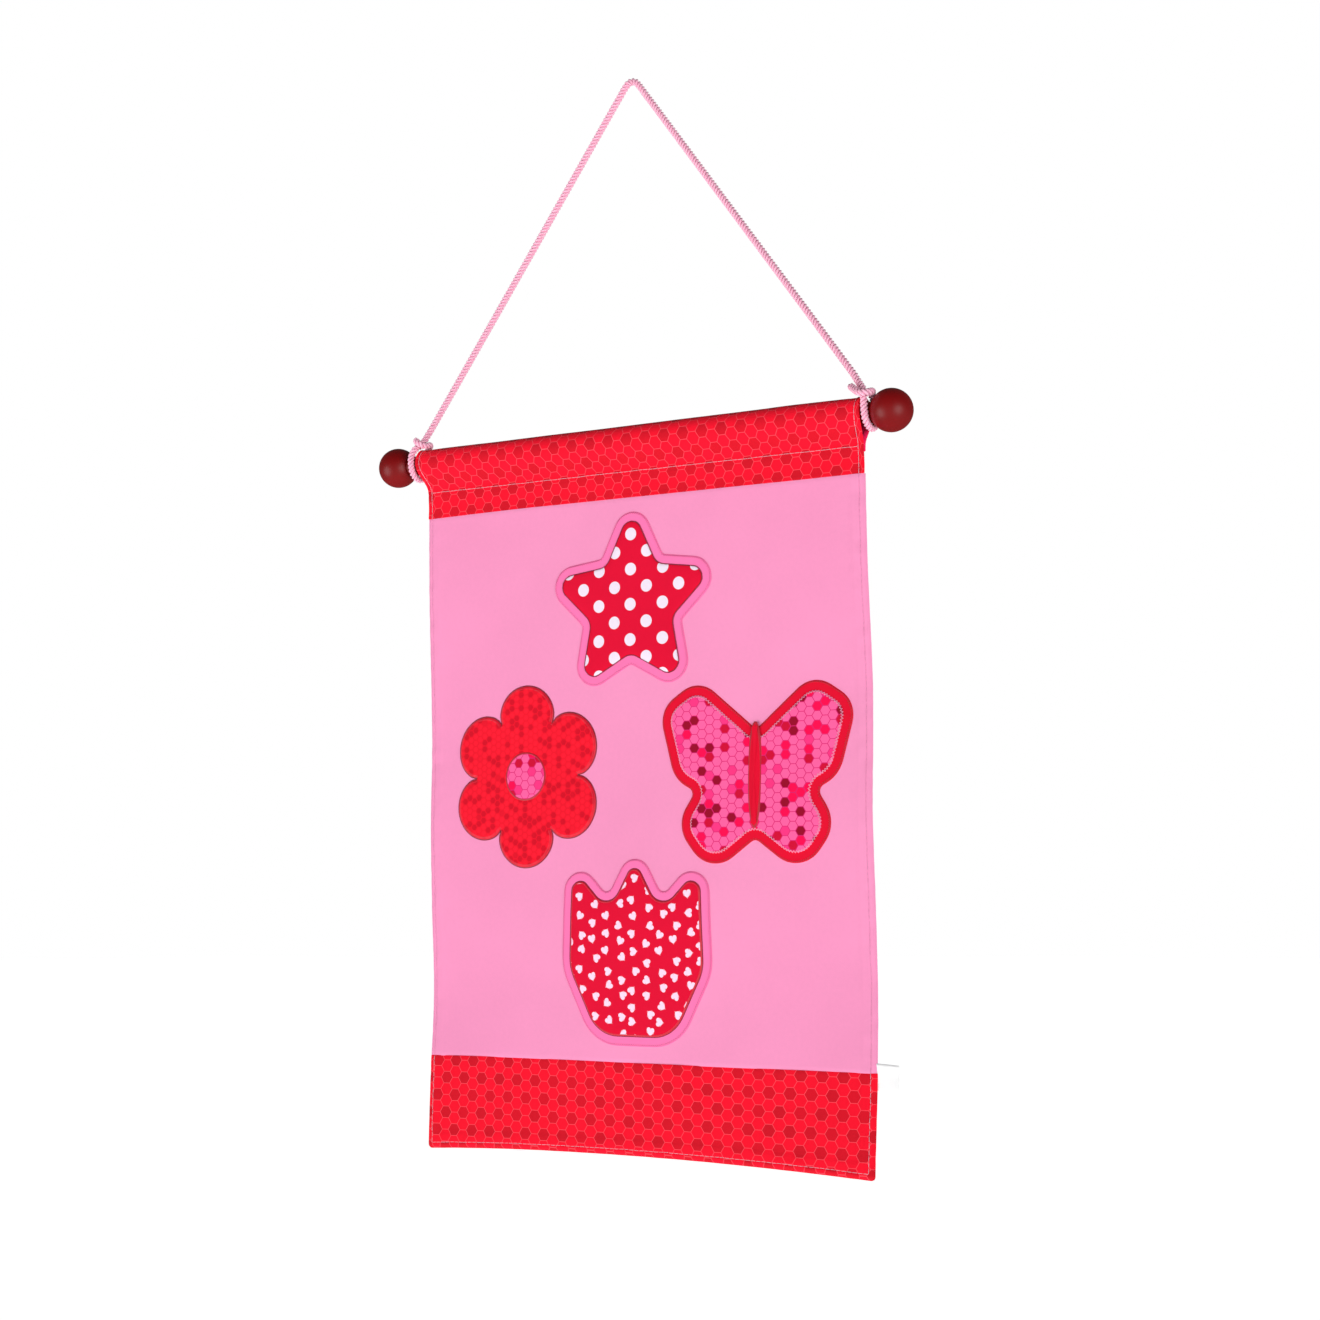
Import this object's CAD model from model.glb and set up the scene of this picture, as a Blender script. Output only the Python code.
# %% [markdown]
# # A cloth banner on a rod
# The banner is a pink cloth panel between two red printed bands. Its top band is a sleeve for a round
# rod with a ball on each end, and a twisted cord holds it up. The lesson starts from the solid model,
# keeps every size and place, and gives each piece its cloth, thread, yarn or paint.

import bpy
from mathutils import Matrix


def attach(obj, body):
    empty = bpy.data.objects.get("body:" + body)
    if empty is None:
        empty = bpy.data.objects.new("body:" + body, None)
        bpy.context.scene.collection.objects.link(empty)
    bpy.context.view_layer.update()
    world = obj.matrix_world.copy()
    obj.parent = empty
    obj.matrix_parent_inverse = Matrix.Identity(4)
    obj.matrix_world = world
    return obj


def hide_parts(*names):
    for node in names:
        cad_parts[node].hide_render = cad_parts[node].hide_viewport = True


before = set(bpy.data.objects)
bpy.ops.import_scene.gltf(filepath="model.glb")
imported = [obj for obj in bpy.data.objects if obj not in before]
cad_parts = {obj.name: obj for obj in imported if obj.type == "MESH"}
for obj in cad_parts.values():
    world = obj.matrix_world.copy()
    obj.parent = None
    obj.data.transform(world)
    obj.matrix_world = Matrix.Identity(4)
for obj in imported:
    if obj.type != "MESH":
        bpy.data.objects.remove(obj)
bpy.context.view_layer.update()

import math

import bmesh
import bpy
from mathutils import Quaternion, Vector, noise

MM = 0.001
print("solid pieces:", ", ".join(sorted(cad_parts)))

# %% [markdown]
# ## The camera
# The view is from the right of the banner and a little below its middle, and looks slightly up, so the rod
# seems to rise to the right. A lens is a distance in millimetres only with its sensor's width, so both are
# set. The camera looks along a vector, and to_track_quat turns that vector into a rotation.

# %% Set up the camera
VIEW_TURN, VIEW_RISE = math.radians(30.0), math.radians(-5.99)
CAMERA_PLACE = (0.6755, -1.1352, -0.4975)
SENSOR_WIDTH, LENS = 36.0, 59.95
camera_data = bpy.data.cameras.new("banner_view")
camera_data.sensor_width, camera_data.lens = SENSOR_WIDTH, LENS
camera = bpy.data.objects.new("banner_view", camera_data)
bpy.context.scene.collection.objects.link(camera)
camera.location = CAMERA_PLACE
level = math.cos(VIEW_RISE)
looks_along = Vector((-math.sin(VIEW_TURN) * level, math.cos(VIEW_TURN) * level, -math.sin(VIEW_RISE)))
camera.rotation_euler = looks_along.to_track_quat("-Z", "Y").to_euler()
bpy.context.scene.camera = camera
print("camera looks along", [round(part, 3) for part in looks_along])

# %% [markdown]
# ## Sizes that pieces share
# The rod's axis is below the point where the cord hangs. All heights are told as a drop below that axis,
# because the seams and the stitch lines are measured from the rod when such a banner is sewn.

# %% Sizes of the rod, the cloth and the cord
CORD_DIAMETER = 4.5 * MM
HANG_HEIGHT = 226.6 * MM
ROD_Z = CORD_DIAMETER / 2 - HANG_HEIGHT
ROD_DIAMETER = 12.7 * MM
CLOTH_LEFT, CLOTH_RIGHT, CLOTH_LEAN = -151.0 * MM, 155.3 * MM, 0.0085
CLOTH_WIDTH = CLOTH_RIGHT - CLOTH_LEFT
CLOTH_THICK, BAND_THICK = 1.6 * MM, 1.8 * MM
STITCH_DROP, SLEEVE_HEM_DROP, SEAM_DROP = 19.0 * MM, 22.0 * MM, 35.0 * MM
LOWER_SEAM_DROP, HEM_DROP = 374.6 * MM, 428.4 * MM
HEM_CORNER_SAG, HEM_TILT = 3.4 * MM, 0.7 * MM


def blend(a, b, t):
    return a + (b - a) * t


def ease(t):
    t = min(max(t, 0.0), 1.0)
    return t * t * (3 - 2 * t)


print(f"cloth {CLOTH_WIDTH / MM:.1f} mm wide, rod axis at {ROD_Z / MM:.1f} mm")

# %% [markdown]
# ## The cord's route
# The cord is one length of yarn. It is tied round the rod on the left, goes up to the point where it hangs,
# comes down and is tied on the right. Its route is a short list of points, chosen by hand in the order in
# which a hand would pass the cord: x, y and the height above the rod's axis, in millimetres.

# %% Lay out the cord's route
CORD_ROUTE = (
    (-156.2, -8.9, 15.2), (-154.4, -9.8, 13.4), (-152.2, -9.1, 11.7), (-150.5, -6.2, 11.0),
    (-150.2, -2.2, 12.0), (-153.0, 2.2, 12.4), (-156.6, 5.6, 11.0), (-159.3, 8.2, 6.4),
    (-160.2, 9.0, 0.0), (-160.2, 6.4, -6.3), (-160.0, 0.0, -9.0), (-159.7, -6.4, -6.3),
    (-159.4, -9.0, -0.6), (-159.1, -9.3, 4.2), (-157.7, -8.2, 8.4), (-155.7, -4.7, 12.0),
    (-154.0, -2.5, 15.2), (-152.4, -1.3, 18.6), (-150.0, -0.6, 22.6), (-80.0, -0.2, 119.5),
    (-9.0, 0.0, 218.0), (-4.3, 0.0, 224.3), (-2.3, 0.0, 226.1), (0.0, 0.0, 226.6),
    (2.3, 0.0, 226.1), (4.3, 0.0, 224.3), (9.0, -0.1, 218.0), (79.0, -0.8, 121.5),
    (149.9, -2.0, 23.8), (152.9, -3.0, 19.4), (155.6, -4.4, 15.8), (158.2, -6.4, 12.2),
    (159.7, -8.9, 6.8), (159.9, -9.1, 0.0), (159.9, -6.4, -6.3), (160.0, 0.0, -9.0),
    (160.0, 6.4, -6.3), (159.7, 9.0, 0.0), (159.3, 6.9, 6.4), (159.8, 2.2, 10.3),
    (162.0, -2.7, 11.0), (163.9, -7.2, 10.5), (163.6, -10.9, 9.5), (161.6, -13.5, 8.9),
    (158.8, -13.9, 9.3), (156.2, -12.4, 11.0), (153.7, -10.5, 12.9), (151.1, -8.8, 14.7),
)
FINE_STEP = 0.3 * MM
CORD_LAY, LAY_STATIONS = 7.0 * MM, 12


def evenly_spaced(route, spacing):
    """Points at one spacing along a smooth curve through the route, and the curve's length."""
    fine = []
    for i in range(len(route) - 1):
        p1, p2 = route[i], route[i + 1]
        p0 = route[i - 1] if i else p1 * 2 - p2
        p3 = route[i + 2] if i + 2 < len(route) else p2 * 2 - p1
        chord = (p2 - p1).length
        m1, m2 = (p2 - p0).normalized() * chord, (p3 - p1).normalized() * chord
        steps = max(4, int(chord / FINE_STEP))
        for step in range(steps):
            t = step / steps
            fine.append((2 * t ** 3 - 3 * t ** 2 + 1) * p1 + (t ** 3 - 2 * t ** 2 + t) * m1
                        + (-2 * t ** 3 + 3 * t ** 2) * p2 + (t ** 3 - t ** 2) * m2)
    fine.append(route[-1])
    length = sum((b - a).length for a, b in zip(fine, fine[1:]))
    count = round(length / spacing)
    points, walked, i = [fine[0]], 0.0, 0
    for step in range(1, count):
        target = length * step / count
        while walked + (fine[i + 1] - fine[i]).length < target:
            walked += (fine[i + 1] - fine[i]).length
            i += 1
        points.append(fine[i].lerp(fine[i + 1], (target - walked) / (fine[i + 1] - fine[i]).length))
    return points + [fine[-1]], length


cord_path, cord_length = evenly_spaced(
    [Vector((x * MM, y * MM, ROD_Z + height * MM)) for x, y, height in CORD_ROUTE], CORD_LAY / LAY_STATIONS)
print(f"cord {cord_length:.3f} m long, {len(cord_path)} stations")

# %% [markdown]
# ## The cord's strands
# Three strands of yarn are laid round each other, to the right. A cut through the cord is three round
# lobes, so the mesh is one ring of that outline, extruded along the route and turned once for each lay.
# One skin keeps the cord closed. Each corner in the UV map says how far round (u) and how far along (v) it
# is, for the fibres to follow. The frame that carries the ring is turned by the smallest rotation from one
# station to the next, so it never flips.

# %% Sweep the three strands
STRANDS, LOBE_POINTS = 3, 8
STRAND_REACH, STRAND_RADIUS = 1.08 * MM, 1.17 * MM
END_TAPER, TAPER_STATIONS = 0.28, 2


def finished(bm, name, material=None, smooth_angle=60):
    """Turns a bmesh into an object at the origin with smooth faces."""
    mesh = bpy.data.meshes.new(name)
    bm.to_mesh(mesh)
    bm.free()
    mesh.shade_smooth()
    mesh.set_sharp_from_angle(angle=math.radians(smooth_angle))
    obj = bpy.data.objects.new(name, mesh)
    bpy.context.scene.collection.objects.link(obj)
    if material:
        mesh.materials.append(material)
    return obj


def belongs(piece, slot, *nodes):
    """The piece moves with the one body, has a slot's finish, and stands for the solids named."""
    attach(piece, "root")
    if nodes:
        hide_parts(*nodes)


def grow_ring(bm, ring_edges, positions):
    """Extrudes a closed ring by one station and puts each new vertex at its own number's position."""
    number, station = bm.verts.layers.int["number"], bm.verts.layers.int["station"]
    new = bmesh.ops.extrude_edge_only(bm, edges=ring_edges)["geom"]
    verts = {item for item in new if isinstance(item, bmesh.types.BMVert)}
    for vert in verts:
        ends = [edge.other_vert(vert) for edge in vert.link_edges]
        old = next(end for end in ends if end not in verts)
        vert[number], vert[station] = old[number], old[station] + 1
        vert.co = positions[vert[number]]
    return [item for item in new if isinstance(item, bmesh.types.BMEdge)]


def first_ring(bm, positions):
    """A closed ring whose vertices have a number, and a station that counts the rings."""
    number = bm.verts.layers.int.new("number")
    bm.verts.layers.int.new("station")
    for i, vert in enumerate(bmesh.ops.create_circle(bm, segments=len(positions), radius=1.0)["verts"]):
        vert[number] = i
        vert.co = positions[i]
    return bm.edges[:]


def close_ring(bm, edges):
    cap = bmesh.ops.contextual_create(bm, geom=edges)["faces"]
    bmesh.ops.poke(bm, faces=cap)


def unwrap_rings(bm, count, around_size, along_size):
    """Writes the way round (u) and the way along (v) into the UV map, in metres."""
    number, station = bm.verts.layers.int["number"], bm.verts.layers.int["station"]
    cloth = bm.loops.layers.uv.new("UVMap")
    for face in bm.faces:
        numbers = [loop.vert[number] for loop in face.loops]
        wraps = max(numbers) - min(numbers) > count / 2
        for loop, at in zip(face.loops, numbers):
            around = at + count if wraps and at < count / 2 else at
            loop[cloth].uv = (around / count * around_size, loop.vert[station] * along_size)


def lobed_reach(turn):
    """Distance from the cord's middle to its outline, in a direction."""
    lobe = math.tau / STRANDS
    off = (turn + lobe / 2) % lobe - lobe / 2
    return STRAND_REACH * math.cos(off) + math.sqrt(STRAND_RADIUS ** 2 - (STRAND_REACH * math.sin(off)) ** 2)


def cord_rings(path):
    side = (path[1] - path[0]).orthogonal().normalized()
    rings, before = [], (path[1] - path[0]).normalized()
    count = STRANDS * LOBE_POINTS
    for i, point in enumerate(path):
        along = (path[min(i + 1, len(path) - 1)] - path[max(i - 1, 0)]).normalized()
        side.rotate(before.rotation_difference(along))
        side = (side - along * side.dot(along)).normalized()
        before = along
        end = min(i, len(path) - 1 - i)
        full = 1 - END_TAPER * (1 - min(end / TAPER_STATIONS, 1)) ** 2
        lay_turn = math.tau * cord_length * i / (len(path) - 1) / CORD_LAY
        ring = []
        for k in range(count):
            turn = math.tau * k / count
            arm = side.copy()
            arm.rotate(Quaternion(along, turn + lay_turn))
            ring.append(point + arm * lobed_reach(turn) * full)
        rings.append(ring)
    return rings


def sweep(rings, around_size, along_size):
    """Joins rings of points into one closed skin that faces outwards."""
    bm = bmesh.new()
    edges = start = first_ring(bm, rings[0])
    for ring in rings[1:]:
        edges = grow_ring(bm, edges, ring)
    close_ring(bm, start)
    close_ring(bm, edges)
    bmesh.ops.recalc_face_normals(bm, faces=bm.faces)
    unwrap_rings(bm, len(rings[0]), around_size, along_size)
    return bm


cord_bm = sweep(cord_rings(cord_path), 1.0, cord_length / (len(cord_path) - 1))
print("cord skin:", len(cord_bm.faces), "faces")

# %% [markdown]
# ## A workshop for shader nodes
# Every finish here is made of nodes. A few short helpers keep that readable: one adds a calculation, one
# mixes two colours, one starts a node group, which is a finish's building block with named inputs and
# outputs, and one links a colour and a bump to the shader. Colours are typed as a screen shows them (0 to
# 255) and turned into light values once.

# %% Node helpers


def tint(red, green, blue):
    """A screen colour as the linear colour that shaders use."""
    parts = [part / 255 for part in (red, green, blue)]
    return tuple(p / 12.92 if p <= 0.04045 else ((p + 0.055) / 1.055) ** 2.4 for p in parts) + (1.0,)


def feed(tree, socket, value):
    if isinstance(value, bpy.types.NodeSocket):
        tree.links.new(value, socket)
    else:
        socket.default_value = value


def add_node(tree, kind, *values, **settings):
    """A node of one kind with its settings; its inputs are fed in order."""
    node = tree.nodes.new("ShaderNode" + kind)
    for label, setting in settings.items():
        setattr(node, label, setting)
    for socket, value in zip(node.inputs, values):
        feed(tree, socket, value)
    return node.outputs


def reckon(tree, operation, *values):
    """A Math node; each value is a number or another node's output."""
    return add_node(tree, "Math", *values, operation=operation)[0]


def smooth_step(tree, value, low, high):
    """0 below low, 1 above high, and a soft ramp between them."""
    return add_node(tree, "MapRange", value, low, high, 0.0, 1.0, interpolation_type="SMOOTHSTEP")[0]


def feed_named(tree, node, **values):
    """Feeds inputs by their names, typed with _ for spaces."""
    for label, value in values.items():
        feed(tree, node.inputs[label.replace("_", " ")], value)


def mix_colour(tree, share, first, second):
    node = tree.nodes.new("ShaderNodeMix")
    node.data_type = "RGBA"
    for place, value in ((0, share), (6, first), (7, second)):
        feed(tree, node.inputs[place], value)
    return node.outputs[2]


def scatter(tree, place, scale, detail=2.0):
    """Soft noise from 0 to 1."""
    node = tree.nodes.new("ShaderNodeTexNoise")
    feed_named(tree, node, Vector=place, Scale=scale, Detail=detail)
    return node.outputs["Fac"]


def start_group(name, inputs, outputs):
    group = bpy.data.node_groups.new(name, "ShaderNodeTree")
    for in_out, sockets in (("INPUT", inputs), ("OUTPUT", outputs)):
        for label, kind in sockets:
            group.interface.new_socket(label, in_out=in_out, socket_type="NodeSocket" + kind)
    return group, group.nodes.new("NodeGroupInput").outputs, group.nodes.new("NodeGroupOutput").inputs


def place_group(tree, group, **values):
    node = tree.nodes.new("ShaderNodeGroup")
    node.node_tree = group
    feed_named(tree, node, **values)
    return node.outputs


def start_finish(name):
    material = bpy.data.materials.new(name)
    material.use_nodes = True
    return material, material.node_tree


def end_finish(tree, colour, height, strength, depth, **values):
    """Gives the shader its colour, its bump and the values of its other sockets."""
    relief = tree.nodes.new("ShaderNodeBump")
    feed_named(tree, relief, Strength=strength, Distance=depth, Height=height)
    feed_named(tree, tree.nodes["Principled BSDF"], Base_Color=colour, Normal=relief.outputs[0], **values)


print("node helpers ready")

# %% [markdown]
# ## The hexagon cells
# Three of the printed cottons share one kind of repeat: flat-topped hexagons in columns, each column half a
# cell lower than the last. Such a grid is two plain grids of oblongs, one shifted by half a cell each way.
# The nearer of the two centres owns the point. From the offset to that centre come the distance to the
# outline, a row number for regular repeats, and a random number for each cell.

# %% Build the hexagon group
HEX_COLUMNS = math.sqrt(3)
HEX_SLOPE = HEX_COLUMNS / 2

hexagons, given, result = start_group(
    "hexagon_cells", (("Place", "Vector"), ("Pitch", "Float")),
    (("Inside", "Float"), ("Spread", "Float"), ("Third row", "Float"), ("Chance", "Float"),
     ("Offset", "Vector")))
unit = add_node(hexagons, "VectorMath", given["Place"], given["Pitch"], operation="DIVIDE")[0]
x, y, _ = add_node(hexagons, "SeparateXYZ", unit)
x_cells = reckon(hexagons, "DIVIDE", x, HEX_COLUMNS)
even_column, even_row = reckon(hexagons, "ROUND", x_cells), reckon(hexagons, "ROUND", y)
odd_column = reckon(hexagons, "ADD", reckon(hexagons, "FLOOR", x_cells), 0.5)
odd_row = reckon(hexagons, "ADD", reckon(hexagons, "FLOOR", y), 0.5)


def offset_to(column, row):
    dx = reckon(hexagons, "SUBTRACT", x, reckon(hexagons, "MULTIPLY", column, HEX_COLUMNS))
    dy = reckon(hexagons, "SUBTRACT", y, row)
    square = reckon(hexagons, "MULTIPLY_ADD", dx, dx, reckon(hexagons, "MULTIPLY", dy, dy))
    return dx, dy, square


even_dx, even_dy, even_square = offset_to(even_column, even_row)
odd_dx, odd_dy, odd_square = offset_to(odd_column, odd_row)
is_odd = reckon(hexagons, "LESS_THAN", odd_square, even_square)


def pick(odd, even):
    return reckon(hexagons, "MULTIPLY_ADD", is_odd, reckon(hexagons, "SUBTRACT", odd, even), even)


dx, dy = pick(odd_dx, even_dx), pick(odd_dy, even_dy)
column, row = pick(odd_column, even_column), pick(odd_row, even_row)
across = reckon(hexagons, "ABSOLUTE", dx)
upward = reckon(hexagons, "ABSOLUTE", dy)
slanted = reckon(hexagons, "MULTIPLY_ADD", across, HEX_SLOPE, reckon(hexagons, "MULTIPLY", upward, 0.5))
reach = reckon(hexagons, "MAXIMUM", upward, slanted)
cell_code = add_node(hexagons, "CombineXYZ", column, row)[0]
chance = add_node(hexagons, "TexWhiteNoise", cell_code)["Value"]
shifted_row = reckon(hexagons, "MULTIPLY_ADD", is_odd, -1.5, reckon(hexagons, "ADD", row, 0.25))
third_of_row = reckon(hexagons, "LESS_THAN", reckon(hexagons, "FLOORED_MODULO", shifted_row, 3.0), 0.5)
for label, value in (
        ("Inside", reckon(hexagons, "SUBTRACT", 0.5, reach)),
        ("Spread", reckon(hexagons, "SQRT", pick(odd_square, even_square))),
        ("Third row", third_of_row), ("Chance", chance),
        ("Offset", add_node(hexagons, "CombineXYZ", dx, dy)[0])):
    hexagons.links.new(value, result[label])
print("hexagon group:", len(hexagons.nodes), "nodes")

# %% [markdown]
# ## The weave
# Plain-woven cotton is a grid of threads that go over and under each other. Two waves multiplied give that
# basket of small hills. A finer noise adds the fluff, and a wide one the faint unevenness of dyed cloth.
# The group gives one height for a Bump node and one brightness for the colour.

# %% Build the weave group
weave, given, result = start_group(
    "woven_cotton", (("Place", "Vector"), ("Thread", "Float"), ("Unevenness", "Float")),
    (("Height", "Float"), ("Brightness", "Float")))
across, down, _ = add_node(weave, "SeparateXYZ", given["Place"])
turns = reckon(weave, "DIVIDE", math.pi, given["Thread"])
warp = reckon(weave, "SINE", reckon(weave, "MULTIPLY", across, turns))
weft = reckon(weave, "SINE", reckon(weave, "MULTIPLY", down, turns))
basket = reckon(weave, "MULTIPLY", warp, weft)
fluff = scatter(weave, given["Place"], 2600.0, 3.0)
wide = scatter(weave, given["Place"], 16.0, 3.0)
slub = scatter(weave, given["Place"], 420.0, 2.0)
weave.links.new(reckon(weave, "MULTIPLY_ADD", basket, 0.3, fluff), result["Height"])
drift = reckon(weave, "SUBTRACT", reckon(weave, "MULTIPLY_ADD", slub, 0.5, wide), 0.75)
threads = reckon(weave, "MULTIPLY", basket, 0.025)
weave.links.new(reckon(weave, "ADD", 1.0, reckon(
    weave, "MULTIPLY_ADD", drift, given["Unevenness"], threads)), result["Brightness"])
print("weave group:", len(weave.nodes), "nodes")

# %% [markdown]
# ## A cotton finish
# Every cloth gets the same woven group under its own print. The print is a function that adds its nodes to
# the material and returns a colour. Cotton is rough and has a slight sheen from its fluff, set on the
# shader's own sockets because they are the same all over.

# %% Make cotton
COTTON_THREAD, WEAVE_DEPTH = 0.42 * MM, 0.12 * MM


def make_cotton(name, print_colour, unevenness=0.10, bump=0.5, thread=COTTON_THREAD):
    material, tree = start_finish(name)
    place = add_node(tree, "UVMap", uv_map="UVMap")[0]
    woven = place_group(tree, weave, Place=place, Thread=thread, Unevenness=unevenness)
    dyed = add_node(tree, "VectorMath", print_colour(tree, place), woven["Brightness"],
                    operation="MULTIPLY")[0]
    end_finish(tree, dyed, woven["Height"], bump, WEAVE_DEPTH, Roughness=0.9, Specular_IOR_Level=0.1,
               Sheen_Weight=0.03, Sheen_Roughness=0.5)
    return material


def plain(*screen_colour):
    def one_dye(tree, place):
        return tint(*screen_colour)[:3]
    return one_dye


panel_cotton = make_cotton("panel_cotton", plain(245, 150, 193))
lining_cotton = make_cotton("lining_cotton", plain(250, 32, 98))
print("plain cottons ready")

# %% [markdown]
# ## The printed cottons
# The bands' red cotton has thin lighter outlines, and every third hexagon of a column is a darker red. The
# flower's cotton has smaller cells, some of them darker by chance. The pink one has a scatter of odd cells
# in reds. Spots come from the distance to a cell's middle, and the little hearts from a heart's formula in
# each cell, turned by the cell's own random number.

# %% Print the cottons
SPOT_WIDE, SPOT_TALL, SPOT_RADIUS = 22.2 * MM, 21.5 * MM, 3.8 * MM
TONAL_PITCH, PINK_PITCH, PINK_STRETCH = 4.05 * MM, 5.5 * MM, 0.96
HEART_PITCH, HEART_SIZE, HEART_DENT, HEART_JITTER = 10.7 * MM, 0.2, 1.5, 0.13
PRINT_RED = tint(226, 12, 52)
ODD_CELLS = ((0.64, tint(250, 55, 130)), (0.71, tint(252, 8, 80)), (0.84, tint(208, 12, 54)),
             (0.93, tint(152, 8, 42)))


def shifted(tree, place, right, down, stretch=1.0):
    """The place from which a print is drawn, moved right and down and narrowed by the stretch."""
    return add_node(tree, "Mapping", place, (-right, -down, 0.0), (0.0, 0.0, 0.0), (stretch, 1.0, 1.0))[0]


def outlined(tree, cell, low, high, share, body, colour):
    """The cells' body colour with their outlines over it."""
    line = reckon(tree, "SUBTRACT", 1.0, smooth_step(tree, cell["Inside"], low, high))
    return mix_colour(tree, reckon(tree, "MULTIPLY", line, share), body, colour)


def red_hexagons(right, down, pitch, stretch):
    def band_print(tree, place):
        cell = place_group(tree, hexagons, Place=shifted(tree, place, right, down, stretch), Pitch=pitch)
        body = mix_colour(tree, cell["Third row"], tint(252, 17, 46), tint(208, 19, 38))
        flicker = smooth_step(tree, cell["Chance"], 0.0, 1.0)
        body = mix_colour(tree, reckon(tree, "MULTIPLY", flicker, 0.35), body, tint(240, 16, 42))
        return outlined(tree, cell, 0.012, 0.04, 0.85, body, tint(255, 78, 92))
    return band_print


def tonal_hexagons(tree, place):
    cell = place_group(tree, hexagons, Place=place, Pitch=TONAL_PITCH)
    odd = smooth_step(tree, cell["Chance"], 0.62, 0.72)
    dark = reckon(tree, "MULTIPLY", smooth_step(tree, cell["Inside"], -0.02, 0.16), odd)
    glow = smooth_step(tree, cell["Inside"], 0.0, 0.3)
    body = mix_colour(tree, glow, tint(240, 20, 44), tint(255, 26, 50))
    return mix_colour(tree, dark, body, tint(212, 13, 38))


def pink_hexagons(tree, place):
    cell = place_group(tree, hexagons, Place=shifted(tree, place, 0.0, 0.0, PINK_STRETCH), Pitch=PINK_PITCH)
    body = tint(255, 98, 160)
    for above, colour in ODD_CELLS:
        body = mix_colour(tree, reckon(tree, "GREATER_THAN", cell["Chance"], above), body, colour)
    return outlined(tree, cell, 0.03, 0.06, 0.9, body, tint(222, 40, 115))


def white_spots(tree, place):
    narrow = SPOT_TALL * HEX_COLUMNS / SPOT_WIDE
    cell = place_group(tree, hexagons, Place=shifted(tree, place, 0.0, 0.0, narrow), Pitch=SPOT_TALL)
    offset = add_node(tree, "VectorMath", cell["Offset"], (1 / narrow, 1.0, 0.0), operation="MULTIPLY")[0]
    length = add_node(tree, "VectorMath", offset, operation="LENGTH")["Value"]
    edge = SPOT_RADIUS / SPOT_TALL
    spot = smooth_step(tree, length, edge * 1.05, edge * 0.97)
    return mix_colour(tree, spot, PRINT_RED, tint(242, 228, 244))


def little_hearts(tree, place):
    cell = place_group(tree, hexagons, Place=place, Pitch=HEART_PITCH)
    swings = [reckon(tree, "SINE", reckon(tree, "MULTIPLY", cell["Chance"], turns)) for turns in (37.0, 61.0)]
    shifts = [reckon(tree, "MULTIPLY", swing, HEART_JITTER) for swing in swings]
    jitter = add_node(tree, "CombineXYZ", *shifts)
    moved = add_node(tree, "VectorMath", cell["Offset"], jitter[0], operation="ADD")[0]
    turned = add_node(tree, "VectorRotate", moved, (0.0, 0.0, 0.0), (0.0, 0.0, 1.0),
                      reckon(tree, "MULTIPLY", cell["Chance"], math.tau), rotation_type="Z_AXIS")[0]
    across, down, _ = add_node(tree, "SeparateXYZ", turned)
    x = reckon(tree, "DIVIDE", across, HEART_SIZE)
    y = reckon(tree, "DIVIDE", down, -HEART_SIZE)
    xx, yy = reckon(tree, "MULTIPLY", x, x), reckon(tree, "MULTIPLY", y, y)
    ring = reckon(tree, "SUBTRACT", reckon(tree, "ADD", xx, yy), 1.0)
    cube = reckon(tree, "MULTIPLY", reckon(tree, "MULTIPLY", ring, ring), ring)
    dent = reckon(tree, "MULTIPLY", reckon(tree, "MULTIPLY", xx, yy), y)
    heart = smooth_step(tree, reckon(tree, "MULTIPLY_ADD", dent, -HEART_DENT, cube), 0.06, -0.06)
    return mix_colour(tree, heart, PRINT_RED, tint(250, 218, 240))


top_cotton = make_cotton("top_band_cotton", red_hexagons(1.0 * MM, 6.8 * MM, 7.45 * MM, 1.008))
lower_cotton = make_cotton("lower_band_cotton", red_hexagons(-0.2 * MM, 13.4 * MM, 7.05 * MM, 0.915))
flower_cotton = make_cotton("flower_cotton", tonal_hexagons)
butterfly_cotton = make_cotton("butterfly_cotton", pink_hexagons)
star_cotton = make_cotton("star_cotton", white_spots)
tulip_cotton = make_cotton("tulip_cotton", little_hearts)
pink_halo_cotton = make_cotton("pink_halo_cotton", plain(255, 122, 180))
red_halo_cotton = make_cotton("red_halo_cotton", plain(228, 12, 48))
print("printed cottons ready")

# %% [markdown]
# ## The hanging surface
# The cloth isn't flat. A short table tells how far it stands behind the rod's plane at five places across
# and nine drops, and a smooth curve runs through the values in both directions. On top of that lie small
# things: the roll of a hem, the dent of a stitch line, puckers beside it, and soft unevenness from noise.

# %% Describe the hanging surface
WAVES = (
    (35.0, -0.6, 0.0, 0.0, 0.0, -0.4),
    (90.0, 0.1, -0.5, -0.3, 0.5, 0.6),
    (150.0, 2.6, 0.5, -0.8, 1.8, 4.4),
    (185.0, 3.5, 1.2, -0.6, 2.4, 3.7),
    (230.0, 2.4, 0.6, -1.0, 1.0, 1.2),
    (280.0, 3.9, 0.3, -1.2, 0.6, 3.1),
    (335.0, 6.4, 1.8, -0.4, 1.2, 4.0),
    (385.0, 3.5, 1.5, 0.2, 0.4, 0.8),
    (434.0, 1.4, 0.4, 0.6, -1.2, -4.0),
)
EDGE_STITCH = 3.0 * MM
EDGE_TURN = 2.6 * MM
HEM_WIDTH = 8.0 * MM
CORNER_ROUND = 2.5 * MM
CORNER_SAG, CORNER_SAG_WIDTH = 1.1 * MM, 90.0 * MM
HEM_RISE, HEM_STEP, EDGE_ROLL = 0.25 * MM, 1.2 * MM, 1.5 * MM
DENT_DEPTH, DENT_WIDTH = 0.34 * MM, 0.5 * MM
PUCKER_HEIGHT, PUCKER_SIZE = 0.5 * MM, 7 * MM
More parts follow.
